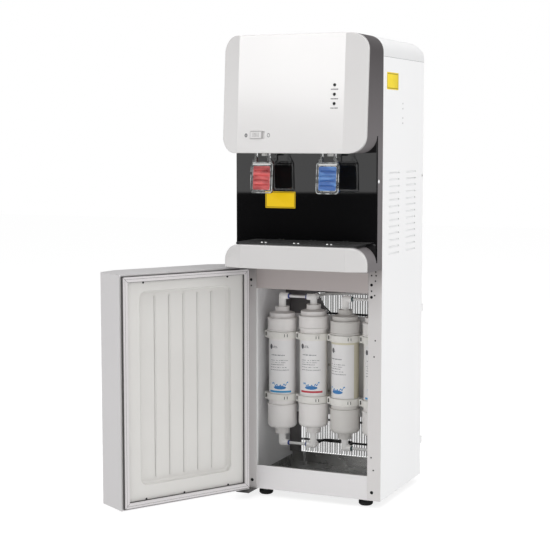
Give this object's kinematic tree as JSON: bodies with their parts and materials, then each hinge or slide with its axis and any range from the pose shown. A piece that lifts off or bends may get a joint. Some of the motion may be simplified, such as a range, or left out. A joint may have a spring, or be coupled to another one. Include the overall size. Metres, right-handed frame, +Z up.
{
  "type": "water purifier dispenser",
  "caption": "Free-standing hot and cold water purifier: head with lever taps over a drip tray, upper cold and hot tanks, filter bay behind a swinging door.",
  "frame": {"origin": "on the floor under the centre of the cabinet's footprint", "axes": "+Z up, front towards -Y, +X to the right as seen from the front"},
  "size_m": [0.5252, 0.6001, 1],
  "materials": {
    "white_steel": "satin",
    "zinc_steel": "satin",
    "dark_gray_plastic": "satin",
    "black_gloss_plastic": "gloss",
    "white_gloss_plastic": "gloss",
    "white_plastic": "satin",
    "light_gray_plastic": "satin",
    "black_plastic": "satin",
    "lens": "gloss",
    "board_green": "satin",
    "clear_lever": "gloss",
    "red_plastic": "gloss",
    "blue_plastic": "gloss",
    "steel_pin": "polished",
    "gasket_gray": "matte",
    "liner_white": "satin",
    "filter_white": "satin",
    "collet_blue": "satin",
    "tube_white": "satin",
    "black_wire": "satin",
    "black_paint": "gloss",
    "black_rubber": "matte",
    "copper": "satin",
    "stainless": "satin",
    "foam": "matte",
    "brass": "satin",
    "red_switch": "gloss",
    "green_switch": "gloss"
  },
  "bodies": {
    "cabinet": {"base_pan": "zinc_steel", "left_side_panel": "white_steel", "right_side_panel": "white_steel", "top_cover": "white_plastic", "rear_panel": "zinc_steel", "mid_deck": "white_steel", "tank_shelf": "zinc_steel", "front_frame": "dark_gray_plastic", "dispensing_panel": "black_gloss_plastic", "head_housing": "dark_gray_plastic", "head_facia": "white_gloss_plastic", "indicator_lenses": "lens", "display_board": "board_green", "tray_housing": "dark_gray_plastic", "tray_facia": "white_gloss_plastic", "tap_bodies": "white_plastic", "lever_pins": "steel_pin", "hinge_brackets": "black_paint", "filter_plate": "white_steel", "filter_clips": "light_gray_plastic", "filter_fittings": "white_plastic", "fitting_collets": "collet_blue", "water_tubes": "tube_white", "condenser": "black_wire", "compressor": "black_paint", "compressor_grommets": "black_rubber", "refrigerant_lines": "copper", "cold_tank": "stainless", "hot_tank": "stainless", "tank_insulation": "foam", "thermostats": "white_plastic", "power_box": "white_plastic", "mains_inlet": "black_plastic", "water_inlet": "white_plastic", "solenoid_valve": "white_plastic", "drain_outlet": "brass", "panel_screws": "steel_pin", "filter_cartridge_1": "filter_white", "filter_cartridge_2": "filter_white", "filter_cartridge_3": "filter_white", "filter_cartridge_4": "filter_white"},
    "door": {"door_shell": "white_gloss_plastic", "door_liner": "liner_white", "door_gasket": "gasket_gray"},
    "hot_tap_lever": {"hot_lever": "clear_lever", "hot_lever_pad": "red_plastic"},
    "cold_tap_lever": {"cold_lever": "clear_lever", "cold_lever_pad": "blue_plastic"},
    "hot_stem": {"hot_valve_stem": "white_plastic"},
    "cold_stem": {"cold_valve_stem": "white_plastic"},
    "child_lock": {"child_lock_slider": "dark_gray_plastic"},
    "tray": {"drip_tray": "black_plastic"},
    "grille": {"drip_grille": "black_plastic"},
    "hot_rocker": {"hot_switch": "red_switch"},
    "cold_rocker": {"cold_switch": "green_switch"},
    "cap": {"drain_cap": "black_plastic"},
    "foot_front_left": {"front_left_foot": "black_rubber"},
    "foot_front_right": {"front_right_foot": "black_rubber"},
    "foot_rear_left": {"rear_left_foot": "black_rubber"},
    "foot_rear_right": {"rear_right_foot": "black_rubber"}
  },
  "joints": [
    {"name": "door_hinge", "type": "hinge", "parent": "cabinet", "child": "door", "pos_m": [-0.1531, -0.1624, 0.26], "axis": [0, 0, 1], "range_deg": [-12, 120.5]},
    {"name": "hot_lever_pivot", "type": "hinge", "parent": "cabinet", "child": "hot_tap_lever", "pos_m": [-0.074, -0.226, 0.796], "axis": [1, 0, 0], "range_deg": [0, 12], "stiffness_Nm_per_rad": 0.6, "springref_deg": -17.19},
    {"name": "hot_valve_lift", "type": "slide", "parent": "cabinet", "child": "hot_stem", "axis": [0, 0, 1], "range_m": [0, 0.0036]},
    {"name": "cold_lever_pivot", "type": "hinge", "parent": "cabinet", "child": "cold_tap_lever", "pos_m": [0.074, -0.226, 0.796], "axis": [1, 0, 0], "range_deg": [0, 12], "stiffness_Nm_per_rad": 0.6, "springref_deg": -17.19},
    {"name": "cold_valve_lift", "type": "slide", "parent": "cabinet", "child": "cold_stem", "axis": [0, 0, 1], "range_m": [0, 0.0036]},
    {"name": "child_lock_slide", "type": "slide", "parent": "cabinet", "child": "child_lock", "axis": [1, 0, 0], "range_m": [0, 0.006]},
    {"name": "drip_tray_lift", "type": "slide", "parent": "cabinet", "child": "tray", "axis": [0, 0, 1], "range_m": [0, 0.055]},
    {"name": "drip_grille_lift", "type": "slide", "parent": "tray", "child": "grille", "axis": [0, 0, 1], "range_m": [0, 0.035]},
    {"name": "hot_rocker_tip", "type": "hinge", "parent": "cabinet", "child": "hot_rocker", "pos_m": [-0.129, 0.1315, 0.626], "axis": [1, 0, 0], "range_deg": [-16, 0]},
    {"name": "cold_rocker_tip", "type": "hinge", "parent": "cabinet", "child": "cold_rocker", "pos_m": [-0.095, 0.1315, 0.626], "axis": [1, 0, 0], "range_deg": [-16, 0]},
    {"name": "drain_cap_pull", "type": "slide", "parent": "cabinet", "child": "cap", "axis": [0, 1, 0], "range_m": [0, 0.02]},
    {"name": "front_left_foot_turn", "type": "hinge", "parent": "cabinet", "child": "foot_front_left", "pos_m": [-0.118, -0.11, 0.016], "axis": [0, 0, 1], "continuous": true},
    {"name": "front_right_foot_turn", "type": "hinge", "parent": "cabinet", "child": "foot_front_right", "pos_m": [0.118, -0.11, 0.016], "axis": [0, 0, 1], "continuous": true},
    {"name": "rear_left_foot_turn", "type": "hinge", "parent": "cabinet", "child": "foot_rear_left", "pos_m": [-0.118, 0.11, 0.016], "axis": [0, 0, 1], "continuous": true},
    {"name": "rear_right_foot_turn", "type": "hinge", "parent": "cabinet", "child": "foot_rear_right", "pos_m": [0.118, 0.11, 0.016], "axis": [0, 0, 1], "continuous": true}
  ],
  "couplings": [
    {"joint": "hot_valve_lift", "follows": "hot_lever_pivot", "m_per_rad": 0.016},
    {"joint": "cold_valve_lift", "follows": "cold_lever_pivot", "m_per_rad": 0.016}
  ]
}
